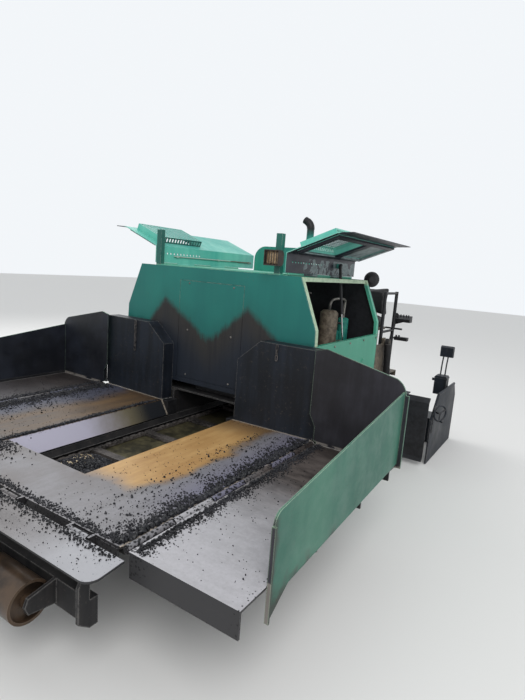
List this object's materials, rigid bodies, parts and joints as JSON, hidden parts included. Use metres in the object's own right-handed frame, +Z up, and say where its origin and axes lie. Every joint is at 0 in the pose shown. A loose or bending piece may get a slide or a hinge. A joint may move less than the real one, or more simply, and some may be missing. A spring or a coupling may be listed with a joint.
{
  "type": "tracked asphalt paver",
  "caption": "Compact tracked asphalt paver with fold-up hopper wings, slat conveyor, gull-wing engine doors, auger and extending screed.",
  "frame": {"origin": "on the ground, below the middle of the machine's bounding box", "axes": "+Z up, the hopper at the -Y end, the screed at the +Y end, +X towards the machine's left side"},
  "size_m": [3.272, 4.76, 2.1795],
  "materials": {
    "frame_paint": "soot-black paint with dried bitumen",
    "worn_plate": "bare hopper plate, worn tan and grey, with asphalt residue",
    "soot_plate": "steel plate covered in black bitumen soot",
    "chain_steel": "oily black chain steel",
    "green_paint": "weathered teal green machine paint",
    "pale_paint": "chalky pale green paint",
    "black_paint": "satin black paint",
    "engine_paint": "dark grey cast engine block",
    "fitting_paint": "brown-grey canisters and pipes",
    "exhaust_paint": "green pipe with a sooty tip",
    "lamp_housing": "amber work lamp behind bars",
    "deck_paint": "dusty brown-grey steel deck",
    "seat_vinyl": "black seat vinyl",
    "black_plastic": "matt black plastic",
    "track_rubber": "dusty rubber-padded track",
    "rod_chrome": "chromed piston rod",
    "roller_steel": "worn steel roller with black residue",
    "auger_iron": "cast auger flights with asphalt residue"
  },
  "bodies": {
    "chassis": {"main_frame": "frame_paint", "cross_members": "frame_paint", "hopper_brackets": "frame_paint", "deck_plate": "frame_paint", "drive_motors": "frame_paint", "chain_guards": "worn_plate", "hopper_floor": "worn_plate", "hopper_rear_walls": "soot_plate", "conveyor_deck": "worn_plate", "conveyor_chain": "chain_steel", "hood_front": "green_paint", "access_panel": "green_paint", "hood_frame": "pale_paint", "hood_sides": "green_paint", "rear_bulkhead": "black_paint", "engine_block": "engine_paint", "engine_fittings": "fitting_paint", "exhaust": "exhaust_paint", "air_cleaner": "pale_paint", "work_lamp": "lamp_housing", "hold_chains": "chain_steel", "platform": "deck_paint", "guard_rails": "black_paint", "console": "green_paint", "seats": "seat_vinyl", "control_stands": "black_plastic", "mirror": "black_plastic", "fuel_tank": "green_paint", "lamp_posts": "green_paint", "tracks": "track_rubber", "track_frames": "frame_paint", "track_wheels": "frame_paint"},
    "wing_left": {"wing_floor_left": "worn_plate", "wing_wall_left": "green_paint"},
    "wing_right": {"wing_floor_right": "worn_plate", "wing_wall_right": "green_paint"},
    "wing_barrel_left": {"wing_barrel_left": "frame_paint"},
    "wing_barrel_right": {"wing_barrel_right": "frame_paint"},
    "wing_rod_left": {"wing_rod_left": "rod_chrome"},
    "wing_rod_right": {"wing_rod_right": "rod_chrome"},
    "apron": {"apron": "worn_plate"},
    "push_beam": {"push_beam": "frame_paint"},
    "push_roller_left": {"push_roller_left": "roller_steel"},
    "push_roller_right": {"push_roller_right": "roller_steel"},
    "door_left": {"door_left": "green_paint"},
    "door_right": {"door_right": "green_paint"},
    "strut_barrel_left": {"strut_barrel_left": "black_paint"},
    "strut_barrel_right": {"strut_barrel_right": "black_paint"},
    "strut_rod_left": {"strut_rod_left": "rod_chrome"},
    "strut_rod_right": {"strut_rod_right": "rod_chrome"},
    "auger": {"auger": "auger_iron"},
    "screed": {"screed": "soot_plate", "tow_arms": "green_paint", "channel_plates": "black_paint"},
    "lift_barrels": {"lift_barrels": "frame_paint"},
    "lift_rods": {"lift_rods": "rod_chrome"},
    "extension_left": {"extension_left": "soot_plate"},
    "extension_right": {"extension_right": "soot_plate"}
  },
  "joints": [
    {"name": "wing_left", "type": "hinge", "parent": "chassis", "child": "wing_left", "pos_m": [1.045, -1.26, 0.572], "axis": [0, -1, 0], "range_deg": [0, 70]},
    {"name": "wing_barrel_left", "type": "hinge", "parent": "chassis", "child": "wing_barrel_left", "pos_m": [0.6, -1.65, 0.3], "axis": [0, -1, 0], "range_deg": [-3, 25]},
    {"name": "wing_rod_left", "type": "slide", "parent": "wing_barrel_left", "child": "wing_rod_left", "axis": [0.9899, 0, 0.1417], "range_m": [-0.005, 0.2]},
    {"name": "door_left", "type": "hinge", "parent": "chassis", "child": "door_left", "pos_m": [0.632, 0.3, 1.665], "axis": [0, 1, 0], "range_deg": [0, 90]},
    {"name": "strut_turn_left", "type": "hinge", "parent": "door_left", "child": "strut_barrel_left", "pos_m": [0.672, 0.53, 1.755], "axis": [0, -1, 0], "range_deg": [-2, 100]},
    {"name": "strut_slide_left", "type": "slide", "parent": "strut_barrel_left", "child": "strut_rod_left", "axis": [0.1406, 0, -0.9901], "range_m": [-0.16, 0.005]},
    {"name": "push_roller_left", "type": "hinge", "parent": "push_beam", "child": "push_roller_left", "pos_m": [0.5, -2.29, 0.35], "axis": [1, 0, 0], "continuous": true},
    {"name": "extension_left", "type": "slide", "parent": "screed", "child": "extension_left", "axis": [1, 0, 0], "range_m": [-0.43, 0.24]},
    {"name": "wing_right", "type": "hinge", "parent": "chassis", "child": "wing_right", "pos_m": [-1.045, -1.26, 0.572], "axis": [0, 1, 0], "range_deg": [0, 70]},
    {"name": "wing_barrel_right", "type": "hinge", "parent": "chassis", "child": "wing_barrel_right", "pos_m": [-0.6, -1.65, 0.3], "axis": [0, 1, 0], "range_deg": [-3, 25]},
    {"name": "wing_rod_right", "type": "slide", "parent": "wing_barrel_right", "child": "wing_rod_right", "axis": [-0.9899, 0, 0.1417], "range_m": [-0.005, 0.2]},
    {"name": "door_right", "type": "hinge", "parent": "chassis", "child": "door_right", "pos_m": [-0.632, 0.3, 1.665], "axis": [0, -1, 0], "range_deg": [0, 90]},
    {"name": "strut_turn_right", "type": "hinge", "parent": "door_right", "child": "strut_barrel_right", "pos_m": [-0.672, 0.53, 1.755], "axis": [0, 1, 0], "range_deg": [-2, 100]},
    {"name": "strut_slide_right", "type": "slide", "parent": "strut_barrel_right", "child": "strut_rod_right", "axis": [-0.1406, 0, -0.9901], "range_m": [-0.16, 0.005]},
    {"name": "push_roller_right", "type": "hinge", "parent": "push_beam", "child": "push_roller_right", "pos_m": [-0.5, -2.29, 0.35], "axis": [1, 0, 0], "continuous": true},
    {"name": "extension_right", "type": "slide", "parent": "screed", "child": "extension_right", "axis": [-1, 0, 0], "range_m": [-0.43, 0.24]},
    {"name": "push_beam", "type": "hinge", "parent": "chassis", "child": "push_beam", "pos_m": [0, -2.11, 0.35], "axis": [0, 0, 1], "range_deg": [-5, 5]},
    {"name": "apron", "type": "hinge", "parent": "chassis", "child": "apron", "pos_m": [0, -2.093, 0.567], "axis": [-1, 0, 0], "range_deg": [0, 80]},
    {"name": "auger", "type": "hinge", "parent": "chassis", "child": "auger", "pos_m": [0, 1.33, 0.29], "axis": [1, 0, 0], "continuous": true},
    {"name": "screed_lift", "type": "hinge", "parent": "chassis", "child": "screed", "pos_m": [0, -0.1, 0.43], "axis": [1, 0, 0], "range_deg": [0, 8]},
    {"name": "lift_barrels", "type": "hinge", "parent": "chassis", "child": "lift_barrels", "pos_m": [0.942, 1.18, 1.1], "axis": [1, 0, 0], "range_deg": [-2, 6]},
    {"name": "lift_rods", "type": "slide", "parent": "lift_barrels", "child": "lift_rods", "axis": [0, 0.2113, -0.9774], "range_m": [-0.22, 0.005]}
  ],
  "couplings": [
    {"joint": "wing_barrel_left", "follows": "wing_left", "ratio": 0.23175},
    {"joint": "wing_rod_left", "follows": "wing_left", "m_per_rad": 0.14376},
    {"joint": "strut_turn_left", "follows": "door_left", "ratio": 0.96224},
    {"joint": "strut_slide_left", "follows": "door_left", "m_per_rad": -0.08582},
    {"joint": "wing_barrel_right", "follows": "wing_right", "ratio": 0.23175},
    {"joint": "wing_rod_right", "follows": "wing_right", "m_per_rad": 0.14376},
    {"joint": "strut_turn_right", "follows": "door_right", "ratio": 0.96224},
    {"joint": "strut_slide_right", "follows": "door_right", "m_per_rad": -0.08582},
    {"joint": "lift_barrels", "follows": "screed_lift", "ratio": 0.23043},
    {"joint": "lift_rods", "follows": "screed_lift", "m_per_rad": -1.3996}
  ]
}
